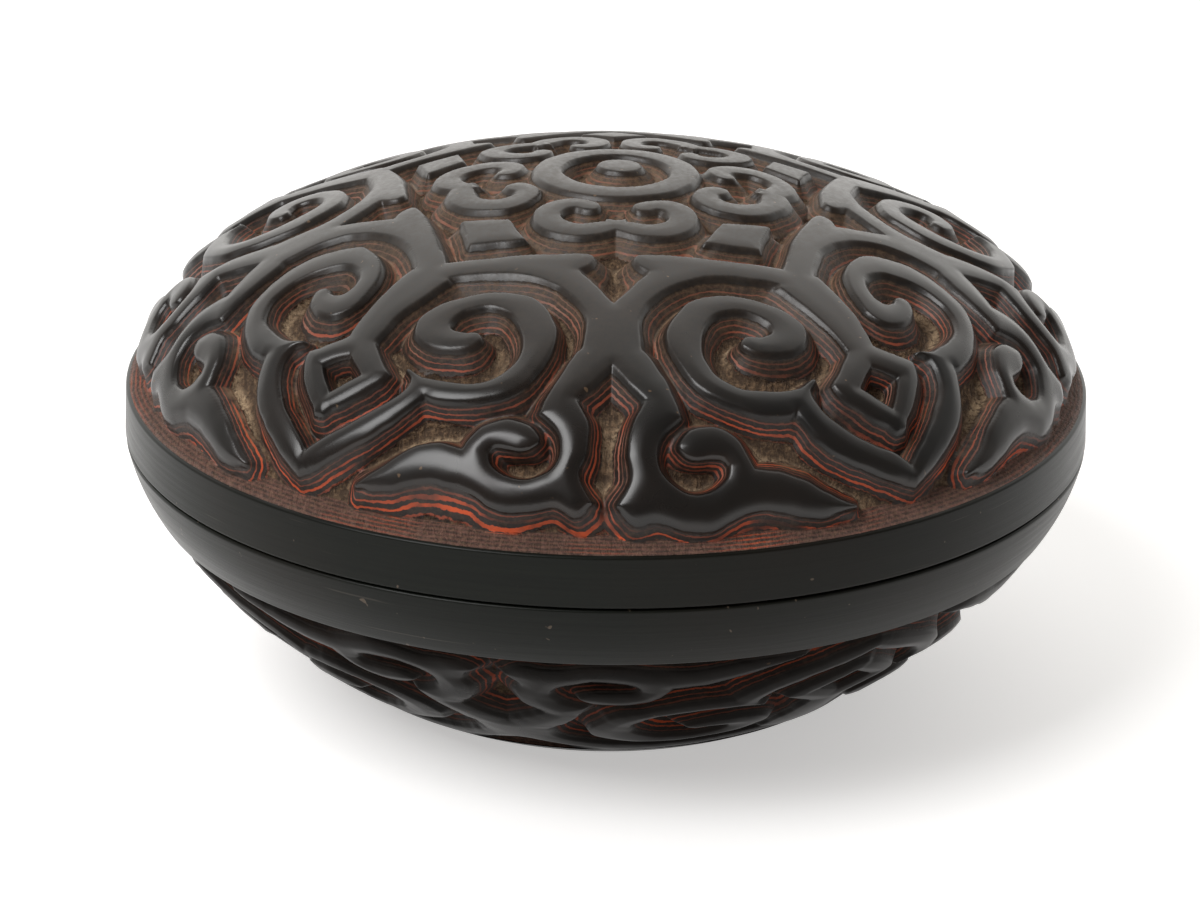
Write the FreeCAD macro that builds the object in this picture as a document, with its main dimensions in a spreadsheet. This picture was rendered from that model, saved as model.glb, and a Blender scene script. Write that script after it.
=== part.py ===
import FreeCAD, Part
import Sketcher
import math
import os

doc = FreeCAD.newDocument("ScrollCarvedBox")

# Driving sizes in millimetres; angles in degrees.
SIZES = [
    ("body_radius", 34.5, "outside radius at the parting line"),
    ("total_height", 37.0, "foot to the top of the closed box"),
    ("parting_height", 18.4, "height of the parting line"),
    ("lid_band_height", 3.6, "smooth band of the lid"),
    ("lid_band_taper", 0.15, "how much narrower the lid band is at its top"),
    ("shoulder_radius", 14.5, "round shoulder of the lid in section"),
    ("shoulder_end_angle", 74.0, "slope of the shoulder where it meets the band"),
    ("base_band_height", 4.8, "smooth band of the base"),
    ("base_band_taper", 2.0, "how much narrower the base band is at its bottom"),
    ("base_band_round", 13.4, "section radius of the base band"),
    ("foot_radius", 17.4, "outside radius of the foot ring on the table"),
    ("foot_width", 2.2, "width of the foot ring on the table"),
    ("foot_height", 1.2, "height of the foot ring"),
    ("underside_skin", 0.3, "black lacquer under the base"),
    ("coat_thickness", 1.9, "built-up lacquer over the wood"),
    ("relief_depth", 1.5, "depth of the carved grooves"),
    ("ledge_rise", 0.6, "rise of the bevel behind the lid band"),
    ("lid_wood_rim", 2.1, "wood left at the edge of the lid"),
    ("lid_wood_top", 3.4, "wood over the middle of the lid"),
    ("lid_wood_side", 2.5, "wood in the shoulder of the lid"),
    ("base_wood_floor", 2.9, "wood under the middle of the well"),
    ("base_wood_side", 2.4, "wood in the side of the bowl"),
    ("lining_skin", 0.3, "black lacquer inside the box"),
    ("lip_clearance", 0.3, "gap between the lip and the lid"),
    ("lip_thickness", 1.5, "thickness of the locating lip"),
    ("lip_height", 3.0, "lip above the parting line"),
    ("lip_seat_depth", 4.0, "lip below the parting line"),
    ("edge_break", 0.2, "eased edge along the parting line"),
    ("lid_carving_centre", 2.0, "height the knife walls of the lid aim at"),
    ("base_carving_centre", 36.0, "height the knife walls of the base aim at"),
    ("overrun", 2.0, "how far cutting shapes pass the surface they cut"),
    ("ring_outer_radius", 5.7, "raised ring at the middle of the lid"),
    ("ring_inner_radius", 3.9, "hollow inside that ring"),
    ("boss_radius", 1.55, "small boss at the middle of the lid"),
    ("lid_scroll_reach", 38.4, "middle of the lid to the scroll tips along the dome"),
    ("base_scroll_reach", 29.0, "the same scrolls laid down the bowl, at their own scale"),
]

sheet = doc.addObject("Spreadsheet::Sheet", "Sizes")
for row, (alias, number, note) in enumerate(SIZES, start=1):
    sheet.set("A%d" % row, alias)
    sheet.set("B%d" % row, str(number))
    sheet.set("C%d" % row, note)
    sheet.setAlias("B%d" % row, alias)
doc.recompute()


class Size:
    """A number together with the sheet formula that gives it."""

    def __init__(self, value, text):
        self.value = float(value)
        self.text = text

    def join(self, other, sign, value):
        return Size(value, "(%s %s %s)" % (self.text, sign, plain(other).text))

    def __add__(self, other):
        return self.join(other, "+", self.value + plain(other).value)

    def __sub__(self, other):
        return self.join(other, "-", self.value - plain(other).value)

    def __mul__(self, other):
        return self.join(other, "*", self.value * plain(other).value)

    def __truediv__(self, other):
        return self.join(other, "/", self.value / plain(other).value)


def plain(number):
    return number if isinstance(number, Size) else Size(number, repr(number))


def cell(alias):
    return Size(sheet.get(alias), "Sizes." + alias)


def root(size):
    return Size(math.sqrt(size.value), "sqrt(%s)" % size.text)


def sine(size):
    return Size(math.sin(math.radians(size.value)), "sin(%s)" % size.text)


def cosine(size):
    return Size(math.cos(math.radians(size.value)), "cos(%s)" % size.text)


def slope_angle(run, rise):
    angle = math.degrees(math.atan2(run.value, rise.value))
    return Size(angle, "atan(%s / %s) / 1 deg" % (run.text, rise.text))


ZERO = plain(0)
top = cell("total_height")
parting = cell("parting_height")
outer = cell("body_radius")
coat = cell("coat_thickness")
depth = cell("relief_depth")
skin = cell("lining_skin")
ease = cell("edge_break")

# Lid dome in section: a flat crown arc, tangent to a round shoulder arc that ends on the band.
shoulder = cell("shoulder_radius")
shoulder_end = cell("shoulder_end_angle")
lid_edge = (outer - cell("lid_band_taper"), parting + cell("lid_band_height"))
shoulder_mid = (lid_edge[0] - shoulder * sine(shoulder_end),
                lid_edge[1] - shoulder * cosine(shoulder_end))
drop = shoulder_mid[1] - top
crown = (shoulder * shoulder - shoulder_mid[0] * shoulder_mid[0] - drop * drop) / (
    (drop + shoulder) * 2)
crown_mid = (ZERO, top - crown)
crown_angle = slope_angle(shoulder_mid[0], drop + crown)


def on_crown(share, inset):
    angle = crown_angle * share
    reach = crown - inset
    return (reach * sine(angle), crown_mid[1] + reach * cosine(angle))


def on_shoulder(share, inset):
    angle = crown_angle + (shoulder_end - crown_angle) * share
    reach = shoulder - inset
    return (shoulder_mid[0] + reach * sine(angle), shoulder_mid[1] + reach * cosine(angle))


# The bevel behind the lid band runs from the band's top edge to the wood.
lid_ledge = (lid_edge[0] - coat, lid_edge[1] + cell("ledge_rise"))

# Base in section: the band arc, then a ball-shaped bowl down to the foot.
base_edge = (outer - cell("base_band_taper"), parting - cell("base_band_height"))
foot_edge = (cell("foot_radius"), ZERO)
bowl_mid = (ZERO, (base_edge[0] * base_edge[0] + base_edge[1] * base_edge[1]
                   - foot_edge[0] * foot_edge[0]) / (base_edge[1] * 2))
bowl = root(foot_edge[0] * foot_edge[0] + bowl_mid[1] * bowl_mid[1])
foot_top = cell("foot_height")


def on_bowl(height, inset):
    reach = bowl - inset
    fall = bowl_mid[1] - height
    return (root(reach * reach - fall * fall), height)


def toward_bowl_middle(inset):
    share = inset / bowl
    return (base_edge[0] - base_edge[0] * share,
            base_edge[1] + (bowl_mid[1] - base_edge[1]) * share)


base_ledge = toward_bowl_middle(coat)


def arc_point(start, end, radius):
    """Point half way along the arc, which bulges to the right of the run from start to end."""
    across = end[0] - start[0]
    along = end[1] - start[1]
    chord = math.hypot(across, along)
    sag = radius - math.sqrt(radius * radius - chord * chord / 4)
    return ((start[0] + end[0]) / 2 + along / chord * sag,
            (start[1] + end[1]) / 2 - across / chord * sag)


def turned(label, outline, rounds=None):
    """Turn a closed section about the upright axis; rounds maps an edge number to its radius."""
    rounds = rounds or {}
    body = doc.addObject("PartDesign::Body", label)
    body.Label = label
    sketch = body.newObject("Sketcher::SketchObject", label + "_section")
    plane = [item for item in body.Origin.OriginFeatures if item.Role == "XZ_Plane"][0]
    sketch.AttachmentSupport = [(plane, "")]
    sketch.MapMode = "FlatFace"
    count = len(outline)
    corners = [(x.value, z.value) for x, z in outline]
    first_end = []
    for number in range(count):
        start = corners[number]
        end = corners[(number + 1) % count]
        a = FreeCAD.Vector(start[0], start[1], 0)
        b = FreeCAD.Vector(end[0], end[1], 0)
        if number in rounds:
            middle = arc_point(start, end, rounds[number].value)
            arc = Part.Arc(a, FreeCAD.Vector(middle[0], middle[1], 0), b)
            sketch.addGeometry(arc, False)
            kept = sketch.Geometry[number].StartPoint
            first_end.append(1 if kept.distanceToPoint(a) < kept.distanceToPoint(b) else 2)
        else:
            sketch.addGeometry(Part.LineSegment(a, b), False)
            first_end.append(1)
    for number in range(count):
        after = (number + 1) % count
        sketch.addConstraint(Sketcher.Constraint(
            "Coincident", number, 3 - first_end[number], after, first_end[after]))
    for number in range(count):
        for axis, name, other in ((0, "DistanceX", -2), (1, "DistanceY", -1)):
            size = outline[number][axis]
            if size is ZERO:
                sketch.addConstraint(Sketcher.Constraint(
                    "PointOnObject", number, first_end[number], other))
                continue
            index = sketch.addConstraint(Sketcher.Constraint(
                name, -1, 1, number, first_end[number], size.value))
            sketch.setExpression("Constraints[%d]" % index, size.text)
    for number, radius in rounds.items():
        index = sketch.addConstraint(Sketcher.Constraint("Radius", number, radius.value))
        sketch.setExpression("Constraints[%d]" % index, radius.text)
    doc.recompute()
    spin = body.newObject("PartDesign::Revolution", label + "_turned")
    spin.Profile = sketch
    spin.ReferenceAxis = (sketch, ["V_Axis"])
    spin.Angle = 360
    doc.recompute()
    sketch.Visibility = False
    return body


# Wood core of the lid, turned with straight tapers under the lacquer.
CROWN_SHARES = (0.5,)
SHOULDER_SHARES = (0.12, 0.56)
HAUNCH_SHARE = 0.3
CEILING_SHARE = 0.48
well_radius = outer - coat - cell("lid_wood_rim")
well_top = top - coat - cell("lid_wood_top")
well_haunch = on_shoulder(HAUNCH_SHARE, coat + cell("lid_wood_side"))
well_flat_radius = well_radius * CEILING_SHARE
lid_well = [
    (well_radius, parting),
    (well_radius, lid_ledge[1]),
    well_haunch,
    (well_flat_radius, well_top),
]
lid_wood_hull = [lid_ledge]
lid_wood_hull += [on_shoulder(share, coat) for share in reversed(SHOULDER_SHARES)]
lid_wood_hull += [on_crown(share, coat) for share in reversed(CROWN_SHARES)]
lid_wood_top = (ZERO, lid_wood_hull[-1][1])
lid_core = turned("lid_wood_core", lid_well[::-1] + [
    (outer - coat, parting)] + lid_wood_hull + [lid_wood_top, (ZERO, well_top)])

# Smooth lacquer band round the edge of the lid.
lid_band = turned("lid_rim_band", [
    (outer - coat, parting),
    (outer - ease, parting),
    (outer, parting + ease),
    lid_edge,
    lid_ledge,
])

# Black lacquer inside the lid.
lid_lining = turned("lid_lining", [
    (well_radius - skin, parting),
    (well_radius, parting),
    (well_radius, lid_ledge[1]),
    well_haunch,
    (well_flat_radius, well_top),
    (ZERO, well_top),
    (ZERO, well_top - skin),
    (well_flat_radius - skin, well_top - skin),
    (well_haunch[0] - skin, well_haunch[1] - skin),
    (well_radius - skin, lid_ledge[1] - skin),
])

# Locating lip: a thin hoop that stands in the base and centres the lid.
lip_outer = well_radius - skin - cell("lip_clearance")
lip_inner = lip_outer - cell("lip_thickness")
lip_seat = parting - cell("lip_seat_depth")
lip = turned("base_locating_lip", [
    (lip_inner, lip_seat),
    (lip_outer, lip_seat),
    (lip_outer, parting + cell("lip_height") - ease),
    (lip_outer - ease, parting + cell("lip_height")),
    (lip_inner, parting + cell("lip_height")),
])

# Wood core of the base: a bowl with a step that seats the lip.
WELL_HEIGHT_SHARES = (0.45,)
FLOOR_SHARE = 0.86
base_well_wall = lip_inner + skin
floor_top = foot_top + cell("base_wood_floor")
side = coat + cell("base_wood_side")
well_rise = lip_seat - floor_top
base_well = [(base_well_wall, lip_seat)]
base_well += [on_bowl(floor_top + well_rise * share, side) for share in WELL_HEIGHT_SHARES]
base_floor_radius = on_bowl(floor_top, side)[0] * FLOOR_SHARE
BOWL_HULL_SHARES = (0.5,)
hull_rise = base_ledge[1] - foot_top
base_wood_hull = [on_bowl(foot_top, coat)]
base_wood_hull += [on_bowl(foot_top + hull_rise * share, coat) for share in BOWL_HULL_SHARES]
base_wood_hull += [base_ledge]
base_core = turned("base_wood_core", [(ZERO, foot_top)] + base_wood_hull + [
    (outer - coat, parting),
    (lip_outer, parting),
    (lip_outer, lip_seat),
] + base_well + [(base_floor_radius, floor_top), (ZERO, floor_top)])

# Smooth lacquer band round the edge of the base.
EASE_SHARE = 0.25
base_band = turned("base_rim_band", [
    base_ledge,
    base_edge,
    (outer - ease * EASE_SHARE, parting - ease),
    (outer - ease, parting),
    (outer - coat, parting),
], {1: cell("base_band_round")})

# Black lacquer inside the base.
base_lining = turned("base_lining", [
    (ZERO, floor_top),
    (base_floor_radius, floor_top),
    base_well[1],
    base_well[0],
    (lip_inner, lip_seat),
    (base_well[1][0] - skin, base_well[1][1] + skin),
    (base_floor_radius - skin, floor_top + skin),
    (ZERO, floor_top + skin),
])

# Foot ring and the recessed underside.
foot_inner = cell("foot_radius") - cell("foot_width")
foot_ring = turned("base_foot_ring", [
    (foot_inner, ZERO),
    foot_edge,
    on_bowl(foot_top, ZERO),
    (foot_inner, foot_top),
], {1: bowl})
underside = turned("base_underside_lacquer", [
    (ZERO, foot_top - cell("underside_skin")),
    (foot_inner, foot_top - cell("underside_skin")),
    (foot_inner, foot_top),
    (ZERO, foot_top),
])

# Turned lacquer coats before carving, and the zones that the grooves may be cut from.
overrun = cell("overrun")
SHOULDER_TURN_SHARES = (0.66, 0.33, 0)
lid_blank = turned("lid_coat_blank", [lid_ledge, lid_edge]
                   + [on_shoulder(share, ZERO) for share in SHOULDER_TURN_SHARES]
                   + [(ZERO, top), lid_wood_top] + lid_wood_hull[:0:-1],
                   {1 + len(SHOULDER_TURN_SHARES): crown})
lid_floor = [(lid_edge[0] - depth, lid_edge[1] - overrun), on_shoulder(1, depth)]
lid_floor += [on_shoulder(share, depth) for share in SHOULDER_TURN_SHARES]
lid_zone = turned("lid_groove_zone", [(ZERO, top + overrun), (outer + overrun, top + overrun),
                                      (outer + overrun, lid_edge[1] - overrun)] + lid_floor
                  + [(ZERO, top - depth)], {2 + len(lid_floor): crown - depth})
base_blank = turned("base_coat_blank", base_wood_hull[::-1] + [
    on_bowl(foot_top, ZERO), base_edge], {len(base_wood_hull): bowl})
low = foot_top - overrun
base_floor_top = on_bowl(base_edge[1] + overrun, depth)
base_zone = turned("base_groove_zone", [
    on_bowl(low, depth), base_floor_top, (outer + overrun, base_edge[1] + overrun),
    (outer + overrun, low)], {0: bowl - depth})

# Scroll pattern, drawn flat: across and outward, as shares of the scroll reach.
# Half a sector: from the gap between two ruyi heads (across = 0) to the middle of a head.
LOBE_HOLLOW_SHARES = (0.202, 0.583, 0.163)
LOBE_SPIRAL_SHARES = (0.232, 0.591)
SPIRAL_START_SHARE, SPIRAL_FALL_SHARE, SPIRAL_HOOK_SHARE = 0.142, 0.070, 0.043
SPIRAL_HALF_WIDTH_SHARE, SPIRAL_WAIST_SHARE = 0.0245, 0.008
SPIRAL_FIRST, SPIRAL_TURN, SPIRAL_STEPS = 90, 296, 7
COLLAR_SHARES = [
    (-0.010, 0.508), (0.052, 0.425), (0.037, 0.368), (0.175, 0.373), (0.272, 0.378),
    (0.280, 0.379),
]
SHIELD_SHARES = [
    (0.434, 0.592), (0.421, 0.655), (0.494, 0.673), (0.529, 0.7205), (0.441, 0.718),
    (0.394, 0.698), (0.365, 0.664),
]
STEM_SHARES = [
    (0.052, 0.652), (0.091, 0.722), (0.113, 0.780), (0.084, 0.818), (0.080, 0.868),
    (0.105, 0.904), (0.146, 0.923), (0.188, 0.906), (0.206, 0.870),
]
CURL_SHARES = [
    (0.178, 0.858), (0.152, 0.892), (0.122, 0.876), (0.114, 0.842), (0.138, 0.809),
    (0.179, 0.800), (0.215, 0.816), (0.249, 0.866),
]
TAIL_SHARES = [
    (0.347, 0.864), (0.459, 0.874), (0.408, 0.903), (0.296, 0.918), (0.246, 0.932),
    (0.195, 0.968), (0.092, 0.965), (0.050, 0.974), (0.019, 0.953), (0.044, 0.904),
    (0.030, 0.857), (0.056, 0.753), (-0.010, 0.690),
]
TIP_OUTER_SHARES = [
    (0.600, 0.8165), (0.532, 0.816), (0.425, 0.813), (0.365, 0.796), (0.328, 0.769),
    (0.312, 0.738), (0.279, 0.756),
]
TIP_INNER_SHARES = [
    (0.268, 0.705), (0.310, 0.689), (0.334, 0.658), (0.346, 0.716), (0.386, 0.743),
    (0.482, 0.754), (0.5565, 0.7576),
]
HOOK_SHARES = [
    (-0.010, 0.276), (0.000, 0.285), (0.050, 0.306), (0.104, 0.291), (0.131, 0.243),
    (0.120, 0.188), (0.080, 0.160), (0.038, 0.170), (0.033, 0.204), (0.066, 0.197),
    (0.088, 0.226), (0.072, 0.257), (0.030, 0.256), (-0.010, 0.245),
]
TILE_SHARES = [(0.1735, 0.2345), (0.1447, 0.3175), (0.2416, 0.3265)]
HOLLOW_ANGLES = (20, -15, -45, -75, -105, -135, -165, 165)
# The carver's setting-out drifts a little round each half: more near the middle.
LID_SECTORS, BASE_SECTORS = 5, 4
LID_DRIFT_MIDDLE, LID_DRIFT_RIM = 9.5, 2.5
BASE_PHASE, BASE_DRIFT = -14.4, 7.6
BASE_START_SHARE = 1.023
SEAM_TURN = 20


def round_shares(middle, radius, angles):
    return [(middle[0] + radius * math.cos(math.radians(angle)),
             middle[1] + radius * math.sin(math.radians(angle))) for angle in angles]


def spiral_side(sign, step_from):
    points = []
    for step in range(step_from, SPIRAL_STEPS + 1):
        turn = step / SPIRAL_STEPS
        reach = SPIRAL_START_SHARE - SPIRAL_FALL_SHARE * turn - SPIRAL_HOOK_SHARE * turn ** 4
        half = SPIRAL_HALF_WIDTH_SHARE - SPIRAL_WAIST_SHARE * math.sin(math.pi * turn)
        angle = SPIRAL_FIRST + SPIRAL_TURN * turn
        points += round_shares(LOBE_SPIRAL_SHARES, reach + sign * half, [angle])
    return points


hollow = round_shares(LOBE_HOLLOW_SHARES[:2], LOBE_HOLLOW_SHARES[2], HOLLOW_ANGLES)
network = COLLAR_SHARES + SHIELD_SHARES + hollow + STEM_SHARES + CURL_SHARES + TAIL_SHARES
head = TIP_OUTER_SHARES + spiral_side(1, 1) + spiral_side(-1, 1)[::-1] + TIP_INNER_SHARES

crown_length = crown.value * math.radians(crown_angle.value)
lid_reach = cell("lid_scroll_reach").value
base_reach = cell("base_scroll_reach").value
lid_centre = cell("lid_carving_centre").value
base_centre = cell("base_carving_centre").value


def lid_ray(across, outward, sector, side):
    """Where the knife line through a flat point passes one length above the carving centre."""
    share = math.hypot(across, outward)
    angle = math.radians(sector * 360 / LID_SECTORS) + side * math.atan2(across, outward)
    drift = LID_DRIFT_MIDDLE + (LID_DRIFT_RIM - LID_DRIFT_MIDDLE) * share
    angle += math.radians(drift) * math.sin(angle)
    length = share * lid_reach
    if length < crown_length:
        lean = length / crown.value
        radius = crown.value * math.sin(lean)
        height = top.value - crown.value * (1 - math.cos(lean))
    else:
        lean = math.radians(crown_angle.value) + (length - crown_length) / shoulder.value
        radius = shoulder_mid[0].value + shoulder.value * math.sin(lean)
        height = shoulder_mid[1].value + shoulder.value * math.cos(lean)
    spread = radius / (height - lid_centre)
    return (spread * math.sin(angle), -spread * math.cos(angle))


bowl_start = math.atan2(base_edge[1].value - bowl_mid[1].value, base_edge[0].value)


def base_ray(across, outward, sector, side):
    share = math.hypot(across, outward)
    turn = math.atan2(across, outward) * LID_SECTORS / BASE_SECTORS
    angle = math.radians(sector * 360 / BASE_SECTORS) + side * turn
    angle += math.radians(BASE_DRIFT) * math.sin(angle) + math.radians(BASE_PHASE)
    lean = bowl_start - base_reach * (BASE_START_SHARE - share) / bowl.value
    radius = bowl.value * math.cos(lean)
    height = bowl_mid[1].value + bowl.value * math.sin(lean)
    spread = radius / (base_centre - height)
    return (spread * math.sin(angle), -spread * math.cos(angle))


def flat_face(points):
    corners = [FreeCAD.Vector(x, y, 0) for x, y in points]
    face = Part.Face(Part.makePolygon(corners + corners[:1]))
    if face.normalAt(0, 0).z < 0:
        corners.reverse()
        face = Part.Face(Part.makePolygon(corners + corners[:1]))
    return face


def knife_solid(wire, centre, near, far):
    """Solid between one outline near the carving centre and the same outline further out."""
    corners = [vertex.Point for vertex in wire.OrderedVertexes]
    rings = []
    for level in (near, far):
        size = abs(level)
        rings.append([FreeCAD.Vector(spot.x * size, spot.y * size, centre + level)
                      for spot in corners])
    faces = [Part.Face(Part.makePolygon(ring + ring[:1])) for ring in rings]
    inner, outside = rings
    for number in range(len(corners)):
        after = (number + 1) % len(corners)
        faces.append(Part.Face(Part.makePolygon([
            inner[number], inner[after], outside[after], outside[number], inner[number]])))
    shell = Part.makeShell(faces)
    shell.sewShape()
    solid = Part.makeSolid(shell)
    if solid.Volume < 0:
        solid.reverse()
    return solid


def scroll_solid(shapes, ray, sectors, centre, near, far):
    faces = []
    for sector in range(sectors):
        for side in (1, -1):
            for shape in shapes:
                faces.append(flat_face([ray(x, y, sector, side) for x, y in shape]))
    pieces = faces[0].multiFuse(faces[1:]).Faces
    joined = Part.makeShell(pieces).removeSplitter()
    solids = []
    for face in joined.Faces:
        solid = knife_solid(face.OuterWire, centre, near, far)
        for wire in face.Wires:
            if not wire.isSame(face.OuterWire):
                solid = solid.cut(knife_solid(wire, centre, near, far))
        solids.append(solid)
    return solids


def lid_cone(radius):
    """Round knife cut through the crown that aims at the carving centre."""
    lean = radius / crown.value
    height = top.value - crown.value * (1 - math.cos(lean)) - lid_centre
    spread = crown.value * math.sin(lean) / height
    cone = Part.makeCone(spread * lid_near, spread * lid_far, lid_far - lid_near,
                         FreeCAD.Vector(0, 0, lid_centre + lid_near))
    cone.rotate(FreeCAD.Vector(), FreeCAD.Vector(0, 0, 1), SEAM_TURN)
    return cone


lid_near = parting.value - lid_centre - cell("overrun").value
lid_far = top.value - lid_centre + 2 * overrun.value
base_near = base_centre - base_edge[1].value - cell("overrun").value
base_far = base_centre + 2 * overrun.value

middle = [lid_cone(cell("boss_radius").value),
          lid_cone(cell("ring_outer_radius").value).cut(lid_cone(cell("ring_inner_radius").value))]
lid_scrolls = doc.addObject("Part::Feature", "lid_scroll_knife_lines")
lid_scrolls.Shape = Part.makeCompound(middle + scroll_solid(
    [network, head, HOOK_SHARES, TILE_SHARES], lid_ray, LID_SECTORS, lid_centre, lid_near, lid_far))
base_scrolls = doc.addObject("Part::Feature", "base_scroll_knife_lines")
base_scrolls.Shape = Part.makeCompound(scroll_solid(
    [network, head], base_ray, BASE_SECTORS, base_centre, -base_near, -base_far))


def carved(label, blank, zone, scrolls):
    """Lacquer coat with everything between the scrolls cut down to the groove floor."""
    grooves = doc.addObject("Part::Cut", label + "_grooves")
    grooves.Base = zone
    grooves.Tool = scrolls
    coat_piece = doc.addObject("Part::Cut", label)
    coat_piece.Label = label
    coat_piece.Base = blank
    coat_piece.Tool = grooves
    return coat_piece


lid_carved = carved("lid_carved_lacquer", lid_blank, lid_zone, lid_scrolls)
base_carved = carved("base_carved_lacquer", base_blank, base_zone, base_scrolls)
doc.recompute()

PIECES = [
    lid_core, lid_carved, lid_band, lid_lining,
    base_core, base_carved, base_band, lip, base_lining, foot_ring, underside,
]
for item in doc.Objects:
    if "Invalid" in item.State or "Error" in item.State:
        raise RuntimeError("not built: " + item.Label)
os.makedirs("parts", exist_ok=True)
for piece in PIECES:
    shape = piece.Shape
    if shape.isNull() or not shape.isValid() or len(shape.Solids) != 1:
        raise RuntimeError("not one sound solid: " + piece.Label)
for piece in PIECES:
    piece.Shape.exportStep("parts/" + piece.Label + ".step")
    print(piece.Label, round(piece.Shape.Volume, 1))
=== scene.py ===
import math

import bpy
import numpy as np
from mathutils import Matrix, Vector
from mathutils.kdtree import KDTree


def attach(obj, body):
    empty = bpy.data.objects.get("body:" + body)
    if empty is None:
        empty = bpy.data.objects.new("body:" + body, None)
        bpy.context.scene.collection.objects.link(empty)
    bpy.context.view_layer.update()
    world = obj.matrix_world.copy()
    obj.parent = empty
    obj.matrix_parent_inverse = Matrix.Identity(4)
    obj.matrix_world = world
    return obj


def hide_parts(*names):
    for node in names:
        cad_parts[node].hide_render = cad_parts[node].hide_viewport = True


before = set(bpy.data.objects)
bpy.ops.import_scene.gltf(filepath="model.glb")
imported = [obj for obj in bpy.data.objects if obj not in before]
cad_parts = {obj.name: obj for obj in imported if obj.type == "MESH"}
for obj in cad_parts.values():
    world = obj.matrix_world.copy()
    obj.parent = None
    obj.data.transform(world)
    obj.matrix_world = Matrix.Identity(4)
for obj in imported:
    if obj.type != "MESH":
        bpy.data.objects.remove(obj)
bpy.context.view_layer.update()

MM = 0.001

# Main sizes of the box in millimetres, as in the part's source.
TOP = 37.0
PARTING = 18.4
BODY_RADIUS = 34.5
LID_EDGE_RADIUS = 34.35
LID_EDGE_HEIGHT = 22.0
SHOULDER = 14.5
SHOULDER_END = math.radians(74)
BASE_EDGE_RADIUS = 32.5
BASE_EDGE_HEIGHT = 13.6
FOOT_RADIUS = 17.4
FOOT_HEIGHT = 1.2
COAT = 1.9
RELIEF = 1.75
LID_LEDGE_RISE = 0.6
BASE_BAND_ROUND = 13.4
LID_REACH = 38.4
BASE_REACH = 29.0

# Dome of the lid: crown arc tangent to the shoulder arc.
shoulder_x = LID_EDGE_RADIUS - SHOULDER * math.sin(SHOULDER_END)
shoulder_z = LID_EDGE_HEIGHT - SHOULDER * math.cos(SHOULDER_END)
drop = shoulder_z - TOP
CROWN = (SHOULDER ** 2 - shoulder_x ** 2 - drop ** 2) / (2 * (drop + SHOULDER))
CROWN_END = math.atan2(shoulder_x, drop + CROWN)
CROWN_LENGTH = CROWN * CROWN_END
LID_LENGTH = CROWN_LENGTH + SHOULDER * (SHOULDER_END - CROWN_END)

# Bowl of the base: a ball centred on the axis.
BOWL_Z = (BASE_EDGE_RADIUS ** 2 + BASE_EDGE_HEIGHT ** 2 - FOOT_RADIUS ** 2) / (2 * BASE_EDGE_HEIGHT)
BOWL = math.hypot(FOOT_RADIUS, BOWL_Z)
BOWL_START = math.atan2(BASE_EDGE_HEIGHT - BOWL_Z, BASE_EDGE_RADIUS)
BOWL_FOOT = -math.asin((BOWL_Z - FOOT_HEIGHT) / BOWL)
BOWL_LENGTH = BOWL * (BOWL_START - BOWL_FOOT)

# Scroll pattern in one half sector, as shares of the reach: across and outward.
# A third value marks a sharp corner; the rest is drawn as a smooth curve.
NETWORK_SHARES = [
    (-0.015, 0.543, 1), (0.058, 0.421, 1), (0.040, 0.404), (0.033, 0.384), (0.044, 0.369),
    (0.102, 0.369), (0.175, 0.373), (0.272, 0.378), (0.330, 0.383, 1), (0.438, 0.560, 1),
    (0.417, 0.6545, 1), (0.520, 0.682, 1), (0.520, 0.700, 1), (0.5126, 0.7055, 1),
    (0.462, 0.7035), (0.420, 0.693), (0.385, 0.677), (0.371, 0.663, 1), (0.378, 0.630),
    (0.383, 0.575), (0.367, 0.522), (0.333, 0.477), (0.288, 0.437), (0.243, 0.422),
    (0.1598, 0.4256), (0.0867, 0.4677), (0.0446, 0.5408), (0.0446, 0.6252),
    (0.058, 0.652), (0.091, 0.718), (0.114, 0.782, 1), (0.086, 0.817), (0.079, 0.862),
    (0.098, 0.900), (0.142, 0.922), (0.183, 0.911), (0.205, 0.888), (0.210, 0.862, 1),
    (0.196, 0.849), (0.172, 0.851), (0.150, 0.858), (0.128, 0.853), (0.117, 0.836),
    (0.137, 0.808), (0.174, 0.797), (0.211, 0.811), (0.238, 0.841), (0.251, 0.862, 1),
    (0.294, 0.858), (0.347, 0.861), (0.397, 0.869), (0.459, 0.872, 1), (0.408, 0.903),
    (0.365, 0.912), (0.296, 0.918), (0.246, 0.932), (0.195, 0.968), (0.150, 0.975),
    (0.092, 0.964), (0.052, 0.974), (0.024, 0.951, 1), (0.044, 0.904), (0.035, 0.857),
    (0.038, 0.807), (0.058, 0.753, 1), (-0.015, 0.657, 1),
]
HEAD_SHARES = [
    (0.5719, 0.7872, 1), (0.520, 0.7975), (0.435, 0.799), (0.385, 0.789), (0.350, 0.770),
    (0.325, 0.750), (0.312, 0.735, 1), (0.295, 0.748), (0.245, 0.756), (0.177, 0.739),
    (0.135, 0.708), (0.104, 0.653), (0.091, 0.600), (0.097, 0.557), (0.124, 0.504),
    (0.164, 0.484), (0.207, 0.480), (0.255, 0.492), (0.295, 0.523), (0.308, 0.558),
    (0.302, 0.590), (0.276, 0.614), (0.240, 0.620), (0.214, 0.606), (0.218, 0.586),
    (0.240, 0.582), (0.258, 0.565), (0.252, 0.540), (0.228, 0.522), (0.194, 0.518),
    (0.160, 0.541), (0.144, 0.592), (0.147, 0.642), (0.171, 0.687), (0.214, 0.712),
    (0.266, 0.708), (0.310, 0.690), (0.336, 0.662, 1), (0.331, 0.688), (0.348, 0.716),
    (0.386, 0.740), (0.438, 0.753), (0.490, 0.755), (0.530, 0.757), (0.585, 0.768, 1),
    (0.578, 0.778, 1),
]
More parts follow.
